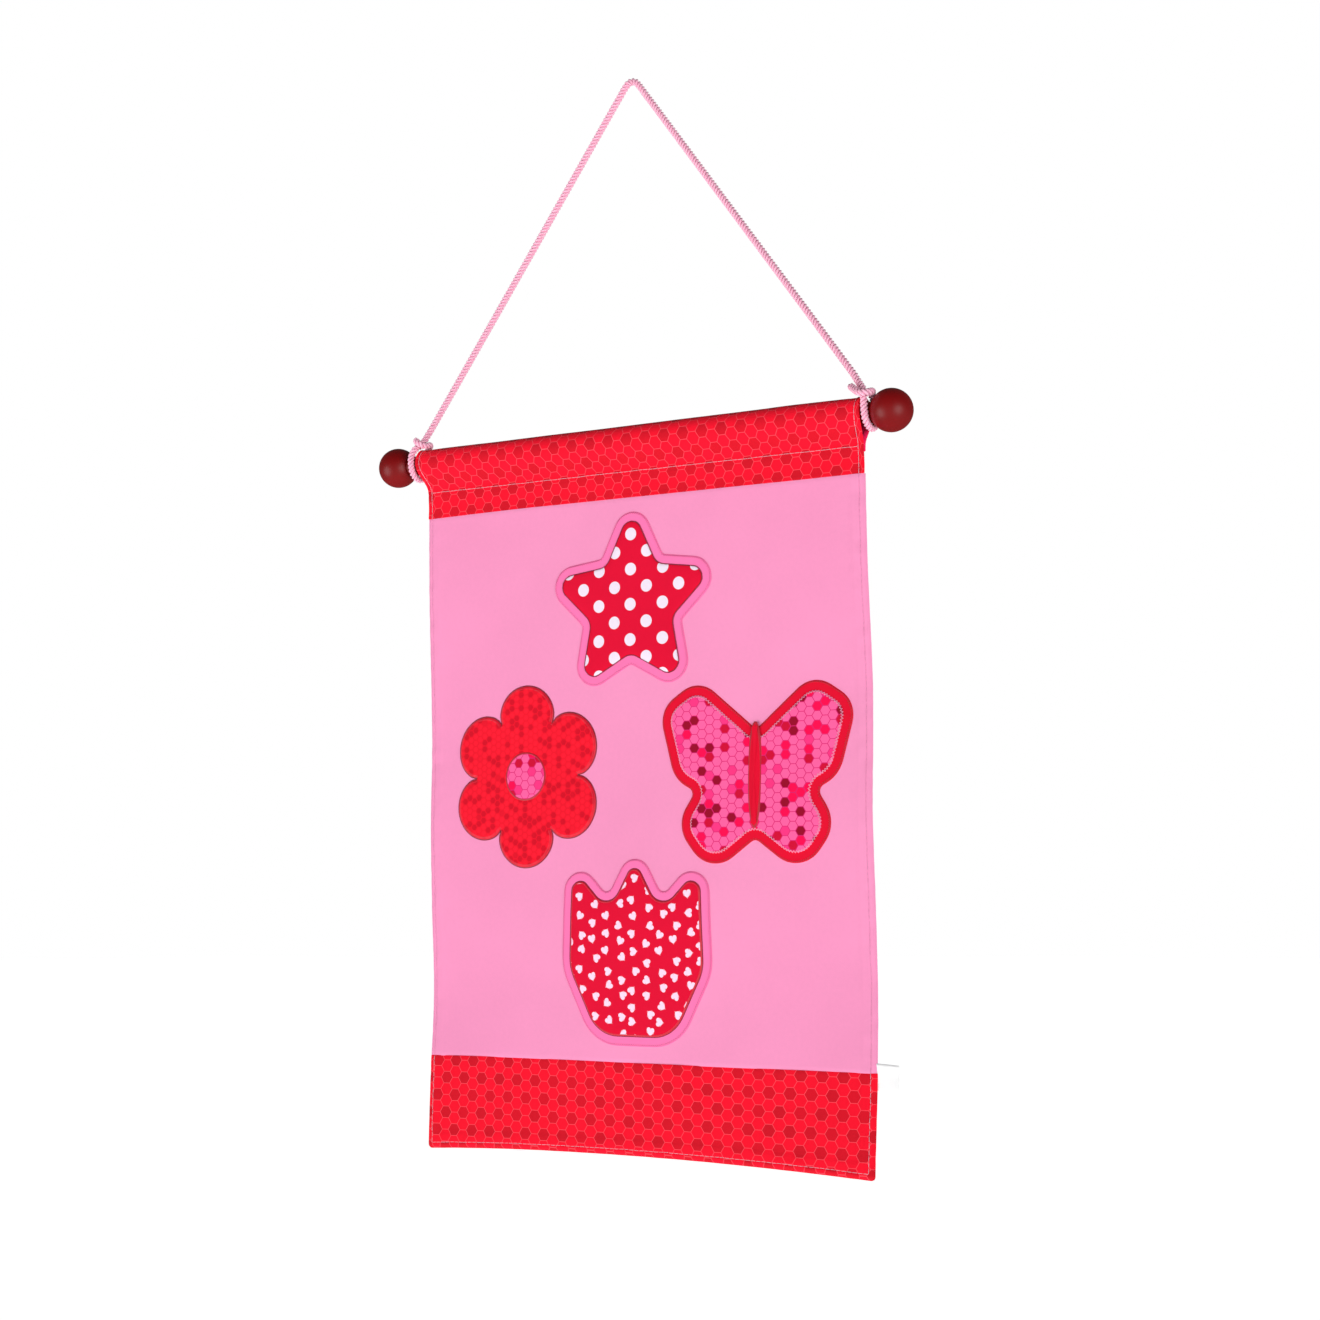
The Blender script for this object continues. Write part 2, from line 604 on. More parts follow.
WIDE_UNEVEN, FINE_UNEVEN = (0.5 * MM, 48 * MM), (0.12 * MM, 15 * MM)
CALM_WIDTH = 12 * MM


def smooth_through(values, position):
    """A smooth curve through evenly spaced values; position counts in steps."""
    last = len(values) - 1
    i = min(max(int(position), 0), last - 1)
    t = position - i
    p1, p2 = values[i], values[i + 1]
    p0 = values[i - 1] if i > 0 else p1
    p3 = values[i + 2] if i + 2 <= last else p2
    return p1 + 0.5 * t * (p2 - p0 + t * (2 * p0 - 5 * p1 + 4 * p2 - p3 + t * (3 * (p1 - p2) + p3 - p0)))


def side_at(drop, left):
    return (CLOTH_LEFT if left else CLOTH_RIGHT) + CLOTH_LEAN * drop


def cloth_depth(x, drop):
    """The y of the hanging cloth's middle layer."""
    across = min(max((x - side_at(drop, True)) / CLOTH_WIDTH * 4, 0.0), 4.0)
    drop_mm = min(max(drop / MM, WAVES[0][0]), WAVES[-1][0])
    row = 0
    while drop_mm > WAVES[row + 1][0] and row < len(WAVES) - 2:
        row += 1
    t = (drop_mm - WAVES[row][0]) / (WAVES[row + 1][0] - WAVES[row][0])
    return smooth_through([smooth_through(line[1:], across) for line in WAVES], row + t) * MM


def soft_noise(u, v, size, seed):
    return noise.noise(Vector((u / size, v / size, seed)))


def sewn_relief(u, v, to_edge, seed):
    """How far the cloth stands proud of its smooth shape, near a sewn edge and away from it."""
    to_stitch = to_edge - EDGE_STITCH
    rolls = HEM_RISE * (1 - ease((to_edge - HEM_WIDTH) / HEM_STEP))
    rolls -= EDGE_ROLL * max(1 - to_edge / EDGE_TURN, 0.0) ** 2
    dent = -DENT_DEPTH * math.exp(-(to_stitch / DENT_WIDTH) ** 2)
    puckers = PUCKER_HEIGHT * soft_noise(u, v, PUCKER_SIZE, seed) * math.exp(-abs(to_stitch) / PUCKER_SIZE)
    mottle = sum(height * soft_noise(u, v, size, seed + more)
                 for (height, size), more in ((WIDE_UNEVEN, 3), (FINE_UNEVEN, 7)))
    return rolls + dent + puckers + mottle * ease(to_edge / CALM_WIDTH)


def corner_sag(u):
    """The cloth hangs a little lower at its left edge."""
    return CORNER_SAG * max(1 - u / CORNER_SAG_WIDTH, 0.0) ** 2


def hanging_point(u, drop, relief):
    x = blend(side_at(drop, True), side_at(drop, False), u / CLOTH_WIDTH)
    return Vector((x, cloth_depth(x, drop) - relief, ROD_Z - drop - corner_sag(u)))


def panel_point(u, v):
    """A point of the panel: u from its left edge, v down from its upper seam."""
    to_edge = min(u, CLOTH_WIDTH - u)
    return hanging_point(u, SEAM_DROP + v, sewn_relief(u, v, to_edge, 1.0))


def hem_length(u):
    """The lower band's length at a place across; its corners hang lower than its middle."""
    side = u / CLOTH_WIDTH * 2 - 1
    return HEM_DROP - LOWER_SEAM_DROP + HEM_CORNER_SAG * side * side + HEM_TILT * side


def lower_point(u, v):
    """A point of the lower band: u from its left edge, v down from its seam."""
    to_edge = min(u, CLOTH_WIDTH - u, max(hem_length(u) - v, 0.0))
    relief = sewn_relief(u, v, to_edge, 20.0)
    side = CORNER_ROUND - min(u, CLOTH_WIDTH - u)
    low = CORNER_ROUND - (hem_length(u) - v)
    if side > 0 and low > 0:
        inward = side * (1 - math.sqrt(1 - (low / CORNER_ROUND) ** 2 / 2))
        v -= low * (1 - math.sqrt(1 - (side / CORNER_ROUND) ** 2 / 2))
        u += inward if u < CLOTH_WIDTH / 2 else -inward
    return hanging_point(u, LOWER_SEAM_DROP + v, relief)


print("middle of the panel at", [round(part, 4) for part in panel_point(CLOTH_WIDTH / 2, 170 * MM)])

# %% [markdown]
# ## The sleeve's section
# The top band goes up from its seam, over the rod and down behind it to a hem. One row of stitches below
# the rod joins the two layers. The section is a short list of corners, smoothed by the same curve as the
# cord, and the print runs over it without a break because the UV map counts along that curve.

# %% Describe the sleeve
SLEEVE_SIDE = (
    (2.6 * MM, 0.97),
    (6.6 * MM, 0.80),
    (11.5 * MM, 0.45),
)
SLEEVE_CLEARANCE = 1.3 * MM
SLEEVE_FLARE_LEFT, SLEEVE_FLARE_RIGHT = 5.5 * MM, 1.0 * MM
ROW_DENT, ROW_DENT_WIDTH = 0.25 * MM, 0.8 * MM
ROW_PUCKER, ROW_PUCKER_SIZE, ROW_PUCKER_REACH = 0.5 * MM, 6 * MM, 5 * MM
sleeve_radius = ROD_DIAMETER / 2 + SLEEVE_CLEARANCE + BAND_THICK / 2
layer_apart = BAND_THICK / 2 + 0.1 * MM
sleeve_half = [(layer_apart, SLEEVE_HEM_DROP - 2.6 * MM), (layer_apart + 0.6 * MM, STITCH_DROP - 3 * MM)]
sleeve_half += [(sleeve_radius * share, drop) for drop, share in reversed(SLEEVE_SIDE)]
section = [Vector((0.0, y, -drop)) for y, drop in [(layer_apart, SLEEVE_HEM_DROP)] + sleeve_half]
for step in range(11):
    turn = math.pi * step / 10
    section.append(Vector((0.0, sleeve_radius * math.cos(turn), sleeve_radius * math.sin(turn))))
section += [Vector((0.0, -y, -drop)) for y, drop in reversed(sleeve_half)]
section += [Vector((0.0, -layer_apart, -SLEEVE_HEM_DROP)), Vector((0.0, -0.4 * layer_apart, -26 * MM)),
            Vector((0.0, 0.0, -30 * MM)), Vector((0.0, 0.0, -SEAM_DROP))]
sleeve_run, sleeve_length = evenly_spaced(section, 0.5 * MM)


def sleeve_point(u, v):
    """A point of the top band: u from its left edge, v along it from its hem behind the rod."""
    at = min(max(v / sleeve_length, 0.0), 1.0) * (len(sleeve_run) - 1)
    i = min(int(at), len(sleeve_run) - 2)
    middle = sleeve_run[i].lerp(sleeve_run[i + 1], at - i)
    outward = (sleeve_run[i + 1] - sleeve_run[i]).cross(Vector((1, 0, 0))).normalized() * -1
    drop = -middle.z
    lift = ease((STITCH_DROP - drop) / STITCH_DROP)
    left = side_at(SEAM_DROP, True) - SLEEVE_FLARE_LEFT * lift
    right = side_at(SEAM_DROP, False) + SLEEVE_FLARE_RIGHT * lift
    x = blend(left, right, u / CLOTH_WIDTH)
    hang = ease((drop - SLEEVE_HEM_DROP) / (SEAM_DROP - SLEEVE_HEM_DROP))
    relief = sewn_relief(u, v, min(u, CLOTH_WIDTH - u), 40.0)
    to_row = abs(drop - STITCH_DROP)
    row_dent = ROW_DENT * math.exp(-(to_row / ROW_DENT_WIDTH) ** 2)
    row_pucker = ROW_PUCKER * soft_noise(u, v, ROW_PUCKER_SIZE, 60.0) * math.exp(-to_row / ROW_PUCKER_REACH)
    y, z = middle.y + cloth_depth(x, SEAM_DROP) * hang, ROD_Z + middle.z - corner_sag(u) * hang
    return Vector((x, y, z)) + outward * (relief * 0.6 + row_pucker - row_dent)


below_row = [i / (len(sleeve_run) - 1) * sleeve_length for i, point in enumerate(sleeve_run)
             if -point.z >= STITCH_DROP]
sleeve_back = max(v for v in below_row if v < sleeve_length / 2)
sleeve_front = min(v for v in below_row if v > sleeve_length / 2)
print(f"band cut {sleeve_length / MM:.1f} mm long, stitched {sleeve_back / MM:.1f} mm "
      f"and {sleeve_front / MM:.1f} mm from its hem")

# %% [markdown]
# ## The three sheets
# Each sheet starts as a grid, and each grid point is laid on its surface. The lines of the grid are close
# together beside the sewn edges, where the hems and dents are, and wide apart in the plain middle. Solidify
# gives the cloth its thickness and its back the lining's colour, and Bevel rounds the folded edges.

# %% Hang the sheets
CLOSE_LINES = tuple(d * MM for d in (0, 0.7, 1.4, 2.1, 2.6, 3.0, 3.4, 3.9, 4.8, 6.2, 7.6, 8.4, 9.4, 11.4))
WIDE_STEP, SLEEVE_STEP = 2.6 * MM, 1.0 * MM
FOLD_WIDTH, FOLD_ANGLE = 0.55 * MM, math.radians(60)


def grid_lines(length, close_at_start, close_at_end, step=WIDE_STEP):
    """Places of grid lines: close ones beside the sewn edges, and even steps between them."""
    start = list(CLOSE_LINES) if close_at_start else [0.0]
    end = [length - d for d in reversed(CLOSE_LINES)] if close_at_end else [length]
    count = max(1, round((end[0] - start[-1]) / step))
    middle = [blend(start[-1], end[0], i / count) for i in range(1, count)]
    return start + middle + end


def lay_sheet(name, columns, rows, point_at, thickness, materials, uv_at=lambda u, v: (u, v)):
    bm = bmesh.new()
    bmesh.ops.create_grid(bm, x_segments=len(columns) - 1, y_segments=len(rows) - 1, size=0.5)
    flat = {}
    for vert in bm.verts:
        u = columns[round((vert.co.x + 0.5) * (len(columns) - 1))]
        v = rows[round((0.5 - vert.co.y) * (len(rows) - 1))]
        flat[vert] = uv_at(u, v)
        vert.co = point_at(u, v)
    cloth = bm.loops.layers.uv.new("UVMap")
    for face in bm.faces:
        for loop in face.loops:
            loop[cloth].uv = flat[loop.vert]
    sheet = finished(bm, name, smooth_angle=50)
    for material in materials:
        sheet.data.materials.append(material)
    shell = sheet.modifiers.new("cloth thickness", "SOLIDIFY")
    shell.thickness, shell.offset = thickness, 0.0
    shell.material_offset = len(materials) - 1
    fold = sheet.modifiers.new("folded edge", "BEVEL")
    fold.width, fold.segments, fold.limit_method, fold.angle_limit = FOLD_WIDTH, 2, "ANGLE", FOLD_ANGLE
    fold.harden_normals = False
    return sheet


columns = grid_lines(CLOTH_WIDTH, True, True)
panel_length = LOWER_SEAM_DROP - SEAM_DROP
panel = lay_sheet("pink_panel", columns, grid_lines(panel_length + 0.2 * MM, False, False), panel_point,
                  CLOTH_THICK, (panel_cotton, lining_cotton))
belongs(panel, "panel_fabric", "panel")

top_band = lay_sheet("top_band_sleeve", columns, grid_lines(sleeve_length, False, False, SLEEVE_STEP),
                     sleeve_point, BAND_THICK, (top_cotton, lining_cotton))
belongs(top_band, "band_fabric", "top_band")

lower_length = HEM_DROP - LOWER_SEAM_DROP
lower_rows = [d / lower_length for d in grid_lines(lower_length, False, True)]
lower_band = lay_sheet("lower_band_cloth", columns, lower_rows,
                       lambda u, v: lower_point(u, v * hem_length(u)), BAND_THICK,
                       (lower_cotton, lining_cotton), lambda u, v: (u, v * hem_length(u)))
belongs(lower_band, "band_fabric", "lower_band")
for sheet in (panel, top_band, lower_band):
    print(sheet.name, len(sheet.data.polygons), "faces before thickness")

# %% [markdown]
# ## Sewing thread
# A row of stitches is one thread that dives through the cloth at each needle hole, and a second one does
# the same from the back. A poly curve with a round bevel draws it: down at the hole, up at the shoulders,
# and lightly arched between. A curve with only corner points keeps the face count low, and it is turned
# into a mesh at the end, so that the thread is part of the model like any other piece.

# %% Sew the rows of stitches
STITCH_LENGTH, THREAD_RADIUS, HOLE_DEPTH = 3.4 * MM, 0.17 * MM, 0.3 * MM
STITCH_ARCH = ((0.0, -HOLE_DEPTH), (0.12, 0.08 * MM), (0.5, 0.16 * MM), (0.88, 0.08 * MM))
TINY_STEP = 0.2 * MM


def make_thread(name, *screen_colour, roughness=0.55):
    material, tree = start_finish(name)
    place = add_node(tree, "TexCoord")["Object"]
    worn = mix_colour(tree, scatter(tree, place, 900.0), tint(*[part * 0.82 for part in screen_colour]),
                      tint(*screen_colour))
    end_finish(tree, worn, scatter(tree, place, 6000.0), 0.4, 0.05 * MM, Roughness=roughness,
               Sheen_Weight=0.15)
    return material


def lifted(point_at, u, v, lift):
    """A point above a cloth's surface, along the direction that its front faces."""
    across = point_at(u + TINY_STEP, v) - point_at(u - TINY_STEP, v)
    down = point_at(u, v + TINY_STEP) - point_at(u, v - TINY_STEP)
    return point_at(u, v) + down.cross(across).normalized() * lift


def thread_piece(name, runs, material, slot, radius=THREAD_RADIUS):
    """Draws each run of points as a round thread and joins them in one mesh."""
    curve = bpy.data.curves.new(name, "CURVE")
    curve.dimensions, curve.bevel_depth, curve.bevel_resolution = "3D", radius, 1
    curve.use_fill_caps = True
    for points in runs:
        spline = curve.splines.new("POLY")
        spline.points.add(len(points) - 1)
        for spot, point in zip(spline.points, points):
            spot.co = (*point, 1)
    drawn = bpy.data.objects.new(name, curve)
    bpy.context.scene.collection.objects.link(drawn)
    shaped = drawn.evaluated_get(bpy.context.evaluated_depsgraph_get())
    bm = bmesh.new()
    bm.from_mesh(bpy.data.meshes.new_from_object(shaped))
    bpy.data.objects.remove(drawn, do_unlink=True)
    bmesh.ops.remove_doubles(bm, verts=bm.verts, dist=0.001 * MM)
    bmesh.ops.recalc_face_normals(bm, faces=bm.faces)
    piece = finished(bm, name, material)
    belongs(piece, slot)
    return piece


def stitched_run(point_at, start, end, thickness, side=1):
    """One row of stitches from a (u, v) place to another, on a cloth's front (side 1) or back (-1)."""
    length = (Vector(end) - Vector(start)).length
    count = max(1, round(length / STITCH_LENGTH))
    points = []
    for i in range(count):
        for share, lift in STITCH_ARCH:
            u, v = Vector(start).lerp(Vector(end), (i + share) / count)
            points.append(lifted(point_at, u, v, side * (thickness / 2 + lift)))
    points.append(lifted(point_at, *end, side * (thickness / 2 - HOLE_DEPTH)))
    return points


SLEEVE_TOP_SHARE, HEM_PARTS = 0.36, 8
left_u, right_u = EDGE_STITCH, CLOTH_WIDTH - EDGE_STITCH
band_thread = make_thread("band_thread", 226, 168, 184)
panel_thread = make_thread("panel_thread", 250, 156, 200)
sleeve_top = sleeve_length * SLEEVE_TOP_SHARE
sleeve_rows = [stitched_run(sleeve_point, start, end, BAND_THICK) for start, end in (
    ((left_u, sleeve_top), (left_u, sleeve_length)), ((right_u, sleeve_top), (right_u, sleeve_length)),
    ((left_u, sleeve_front), (right_u, sleeve_front)), ((left_u, sleeve_back), (right_u, sleeve_back)))]
hem_marks = [blend(left_u, right_u, i / HEM_PARTS) for i in range(HEM_PARTS + 1)]
hem_line = [(u, hem_length(u) - EDGE_STITCH) for u in hem_marks]
hem_rows, panel_rows = [], []
for side in (1, -1):
    for u in (left_u, right_u):
        hem_end = (u, hem_length(u) - EDGE_STITCH)
        hem_rows.append(stitched_run(lower_point, (u, 0.0), hem_end, BAND_THICK, side))
        panel_rows.append(stitched_run(panel_point, (u, 0.0), (u, panel_length), CLOTH_THICK, side))
    for start, end in zip(hem_line, hem_line[1:]):
        hem_rows.append(stitched_run(lower_point, start, end, BAND_THICK, side))
thread_piece("sleeve_stitches", sleeve_rows, band_thread, "band_fabric")
thread_piece("hem_stitches", hem_rows, band_thread, "band_fabric")
thread_piece("panel_stitches", panel_rows, panel_thread, "panel_fabric")
print("stitch rows:", len(sleeve_rows) + len(hem_rows) + len(panel_rows))

# %% [markdown]
# ## The cord's yarn
# Soft yarn is hundreds of thin fibres that lie nearly along the cord, with a little fluff on them. Stretched
# noise on the UV map draws the fibres, and the valleys between the strands are darker because little light
# gets into them. The cord is declared last, with its real length and where it leaves the rod.

# %% Finish the cord
FIBRES_ROUND, FIBRES_SLANT, FIBRES_ALONG = 60.0, 1700.0, 300.0
yarn, tree = start_finish("cord_yarn")
around, down, _ = add_node(tree, "SeparateXYZ", add_node(tree, "UVMap", uv_map="UVMap")[0])
lobe_turn = reckon(tree, "FRACT", reckon(tree, "MULTIPLY", around, STRANDS))
from_ridge = reckon(tree, "MULTIPLY", reckon(tree, "MINIMUM", lobe_turn, reckon(
    tree, "SUBTRACT", 1.0, lobe_turn)), 2.0)
slanted = reckon(tree, "MULTIPLY_ADD", around, FIBRES_ROUND, reckon(tree, "MULTIPLY", down, FIBRES_SLANT))
stretched = add_node(tree, "CombineXYZ", slanted, reckon(tree, "MULTIPLY", down, FIBRES_ALONG))[0]
fibres = scatter(tree, stretched, 1.0, 3.0)
valley = reckon(tree, "MULTIPLY", smooth_step(tree, from_ridge, 0.6, 1.0), 0.6)
colour = mix_colour(tree, smooth_step(tree, fibres, 0.3, 0.75), tint(248, 168, 198), tint(255, 205, 222))
colour = mix_colour(tree, valley, colour, tint(216, 128, 168))
end_finish(tree, colour, fibres, 0.6, 0.15 * MM, Roughness=0.8, Sheen_Weight=0.2)

hanging_cord = finished(cord_bm, "hanging_cord", yarn, smooth_angle=80)
belongs(hanging_cord, "cord_yarn", "cord")
print("cord:", len(hanging_cord.data.polygons), "faces")

# %% [markdown]
# ## Outlines of the four motifs
# A star, a flower, a butterfly and a tulip are cut from the printed cottons. Each outline is a few corners
# with a rounding radius, or a rule in polar form, in millimetres about the motif's middle. Outlines are
# walked again at an even step, so that stitches and rings of points come out evenly.

# %% Draw the outlines


def round_corners(corners, steps=8):
    """An arc in place of each (x, z, radius) corner of a polygon."""
    points = []
    for i, (x, z, radius) in enumerate(corners):
        here = Vector((x, z))
        before = (Vector(corners[i - 1][:2]) - here).normalized()
        after = (Vector(corners[(i + 1) % len(corners)][:2]) - here).normalized()
        half = before.angle(after) / 2
        start, end = here + before * radius / math.tan(half), here + after * radius / math.tan(half)
        centre = here + (before + after).normalized() * radius / math.sin(half)
        for step in range(steps + 1):
            points.append(centre + (start.lerp(end, step / steps) - centre).normalized() * radius)
    return points


def walked(outline, step):
    """The closed outline as points an even step apart, counter-clockwise."""
    if sum(a.cross(b) for a, b in zip([outline[-1]] + outline, outline)) < 0:
        outline = outline[::-1]
    closed = outline + [outline[0]]
    lengths = [(b - a).length for a, b in zip(closed, closed[1:])]
    total = sum(lengths)
    count = 2 * round(total / step / 2)
    points, passed, i = [], 0.0, 0
    for k in range(count):
        target = total * k / count
        while passed + lengths[i] < target:
            passed += lengths[i]
            i += 1
        points.append(closed[i].lerp(closed[i + 1], (target - passed) / max(lengths[i], 1e-9)))
    return points


def grown(outline, width):
    """A counter-clockwise outline moved outwards by a width, or inwards by a negative one."""
    count = len(outline)
    points = []
    for i, point in enumerate(outline):
        along = (outline[(i + 1) % count] - outline[i - 1]).normalized()
        points.append(point + Vector((along.y, -along.x)) * width)
    return points


def star_outline():
    corners = []
    for i in range(10):
        turn = math.pi / 2 + math.pi * i / 5
        reach, radius = (60.4, 7.0) if i % 2 == 0 else (29.6, 9.0)
        corners.append((reach * math.cos(turn), reach * math.sin(turn), radius))
    return round_corners(corners)


def flower_outline():
    points = []
    for i in range(240):
        turn = math.tau * i / 240
        reach = blend(37.0, 56.0, abs(math.cos(3 * turn)) ** 0.55)
        points.append(Vector((-reach * math.sin(turn), reach * math.cos(turn))))
    return points


def butterfly_outline():
    wing = [(0.0, 18.7, 10.0), (37.4, 50.6, 11.0), (57.2, 37.4, 11.0), (48.4, 2.2, 14.0), (30.8, -6.6, 10.0),
            (45.1, -28.6, 12.0), (28.6, -50.6, 13.0), (0.0, -29.7, 10.0)]
    return round_corners(wing + [(-x, z, radius) for x, z, radius in reversed(wing[1:-1])])


def tulip_outline():
    half = [(-17.7, 33.3, 10.0), (-43.7, 60.3, 6.0), (-45.8, 0.0, 26.0), (-26.0, -39.5, 22.0)]
    other = [(-x, z, radius) for x, z, radius in reversed(half)]
    return round_corners([(0.0, 64.5, 5.0)] + half + other)


def oval_outline(width, height):
    turns = [math.tau * i / 96 for i in range(96)]
    return [Vector((width / 2 * math.cos(turn), height / 2 * math.sin(turn))) for turn in turns]


HALO_WIDTH, OUTLINE_STEP = 6.0, 1.5
star_cut, flower_cut, butterfly_cut, tulip_cut = cuts = [
    walked(outline, OUTLINE_STEP)
    for outline in (star_outline(), flower_outline(), butterfly_outline(), tulip_outline())]
print("outlines:", [round(sum((b - a).length for a, b in zip(cut, cut[1:]))) for cut in cuts], "mm")

# %% [markdown]
# ## The applied pieces
# An applied piece is cut out, laid on the cloth and sewn down along its edge, so its middle stands a little
# higher than its edge. Its mesh is the outline as a ring, extruded inwards ring by ring: the first rings
# keep their distance from the edge and make its roll, the others shrink to the middle. Every point is then
# put on the panel's own surface, at its height above it, so the pieces hang in the same waves.

# %% Cut and lay the applied pieces
STAR_PLACE, FLOWER_PLACE = (1.0 * MM, 101.0 * MM), (-75.0 * MM, 203.0 * MM)
BUTTERFLY_PLACE, TULIP_PLACE = (84.0 * MM, 206.0 * MM), (4.0 * MM, 319.5 * MM)
EDGE_RINGS = ((0.9, -0.05), (1.4, 0.04), (2.2, 0.16), (3.4, 0.28))
EDGE_THIN, MIDDLE_RISE = 0.1, 0.5
MIDDLE_SHARES = (0.88, 0.76, 0.64, 0.52, 0.40, 0.28, 0.16, 0.07)


def on_panel(place, point, height):
    """A point above the panel: point and height in millimetres, about a motif's place."""
    x, drop = place[0] + point.x * MM, place[1] - point.y * MM
    u, v = x - side_at(drop, True), drop - SEAM_DROP
    return lifted(panel_point, u, v, CLOTH_THICK / 2 + height * MM)


def lay_on_panel(bm, place):
    """Moves a flat shape's points to the hanging panel, each at its own height above it."""
    for vert in bm.verts:
        vert.co = on_panel(place, Vector(vert.co[:2]), vert.co.z)
    bmesh.ops.recalc_face_normals(bm, faces=bm.faces)
    bm.normal_update()


def applied_piece(name, place, outline, base, thick, puff, material, slot, *nodes):
    """A cut piece of cloth whose back lies base mm above the panel's face."""
    bm = bmesh.new()
    ring = first_ring(bm, [Vector((*p, base + EDGE_THIN)) for p in outline])
    for inset, rise in EDGE_RINGS:
        ring = grow_ring(bm, ring, [Vector((*p, base + thick + rise * puff)) for p in grown(outline, -inset)])
    last = grown(outline, -EDGE_RINGS[-1][0])
    for share in MIDDLE_SHARES:
        rise = puff * (EDGE_RINGS[-1][1] + MIDDLE_RISE * (1 - share))
        ring = grow_ring(bm, ring, [Vector((*(p * share), base + thick + rise)) for p in last])
    close_ring(bm, ring)
    bmesh.ops.recalc_face_normals(bm, faces=bm.faces)
    cloth = bm.loops.layers.uv.new("UVMap")
    for face in bm.faces:
        for loop in face.loops:
            loop[cloth].uv = (loop.vert.co.x * MM, -loop.vert.co.y * MM)
    lay_on_panel(bm, place)
    if sum(face.normal.y for face in bm.faces) > 0:
        bmesh.ops.reverse_faces(bm, faces=bm.faces)
    piece = finished(bm, name, material, smooth_angle=50)
    for edge in piece.data.edges[:len(outline)]:
        edge.use_edge_sharp = True
    shell = piece.modifiers.new("cloth thickness", "SOLIDIFY")
    shell.thickness, shell.offset = EDGE_THIN * MM, -1.0
    belongs(piece, slot, *nodes)
    print(name, len(piece.data.polygons), "faces")


star_wide, butterfly_wide, tulip_wide = [
    walked(grown(cut, HALO_WIDTH), 1.6) for cut in (star_cut, butterfly_cut, tulip_cut)]
centre_cut, body_cut = walked(oval_outline(30, 30), 1.5), walked(oval_outline(9, 62), 1.2)
BACKING_BASE, HALO_TOP, PIECE_TOP = 0.02, 0.6, 1.35
for piece in (
        ("star_backing", STAR_PLACE, star_wide, BACKING_BASE, 0.55, 0.2, pink_halo_cotton,
         "pink_halo_fabric", "star_halo"),
        ("star_cloth", STAR_PLACE, star_cut, HALO_TOP, 0.7, 0.9, star_cotton, "spot_fabric", "star"),
        ("flower_cloth", FLOWER_PLACE, flower_cut, BACKING_BASE, 0.9, 1.0, flower_cotton,
         "tonal_fabric", "flower"),
        ("butterfly_backing", BUTTERFLY_PLACE, butterfly_wide, BACKING_BASE, 0.55, 0.2, red_halo_cotton,
         "red_halo_fabric", "butterfly_halo"),
        ("butterfly_cloth", BUTTERFLY_PLACE, butterfly_cut, HALO_TOP, 0.7, 0.8, butterfly_cotton,
         "pink_hexagon_fabric", "butterfly"),
        ("tulip_backing", TULIP_PLACE, tulip_wide, BACKING_BASE, 0.55, 0.2, pink_halo_cotton,
         "pink_halo_fabric", "tulip_halo"),
        ("tulip_cloth", TULIP_PLACE, tulip_cut, HALO_TOP, 0.7, 0.9, tulip_cotton,
         "small_print_fabric", "tulip")):
    applied_piece(*piece)

# %% [markdown]
# ## Satin rims
# A satin stitch is a zigzag so dense that it covers the cut edge as a raised smooth band. The band is made
# like the edge of a piece: rings of points across it, low at both sides and high in the middle. Each ring
# has a point for every half stitch, and every other point stands a little lower, so the single threads
# show as fine ribs.

# %% Sew the satin rims
SATIN_SECTION = ((0.0, 0.0), (0.12, 0.62), (0.34, 0.96), (0.6, 1.0), (0.86, 0.66), (1.0, 0.0))
RIB_DEPTH, SATIN_ROUGHNESS = 0.07, 0.45


def satin_rim(name, place, outline, inner, outer, low_in, low_out, height, pitch, material, slot):
    """A raised band from inner mm inside the outline to outer mm outside it."""
    path = walked(outline, pitch / 2)
    rows = []
    for share, rise in SATIN_SECTION:
        edge = grown(path, blend(-inner, outer, share))
        floor = blend(low_in, low_out, share)
        rows.append([Vector((*p, floor + rise * (height - RIB_DEPTH * (i % 2)))) for i, p in enumerate(edge)])
    bm = bmesh.new()
    ring = start = first_ring(bm, rows[0])
    for row in rows[1:]:
        ring = grow_ring(bm, ring, row)
    bmesh.ops.bridge_loops(bm, edges=start + ring)
    lay_on_panel(bm, place)
    piece = finished(bm, name, material, smooth_angle=180)
    belongs(piece, slot)
    print(name, len(piece.data.polygons), "faces")


red_satin = make_thread("red_satin", 232, 14, 52, roughness=SATIN_ROUGHNESS)
dark_red_satin = make_thread("dark_red_satin", 208, 8, 42, roughness=SATIN_ROUGHNESS)
satin_rim("flower_rim", FLOWER_PLACE, flower_cut, 2.0, 0.1, 0.9, 0.1, 0.38, 0.5, red_satin, "tonal_fabric")
satin_rim("tulip_rim", TULIP_PLACE, tulip_cut, 1.0, 0.1, PIECE_TOP - 0.05, HALO_TOP + 0.1, 0.25, 0.6,
          red_satin, "small_print_fabric")

# %% [markdown]
# ## Zigzag edges
# Every edge is sewn down by a zigzag. Its thread dives inside the edge, crosses it and dives outside it, so
# each stitch is a short slanted bar: narrow and dark round the star, the tulip and the flower, and wide and
# pale round the butterfly. The same thread function as for the rows of stitches draws it, with a needle
# hole at each end of a bar and two high points between.

# %% Sew the zigzag edges
THREAD_CROWN, HOLE_SINK = 0.12, 0.08
FINE_THREAD, THICK_THREAD = 0.19 * MM, 0.25 * MM


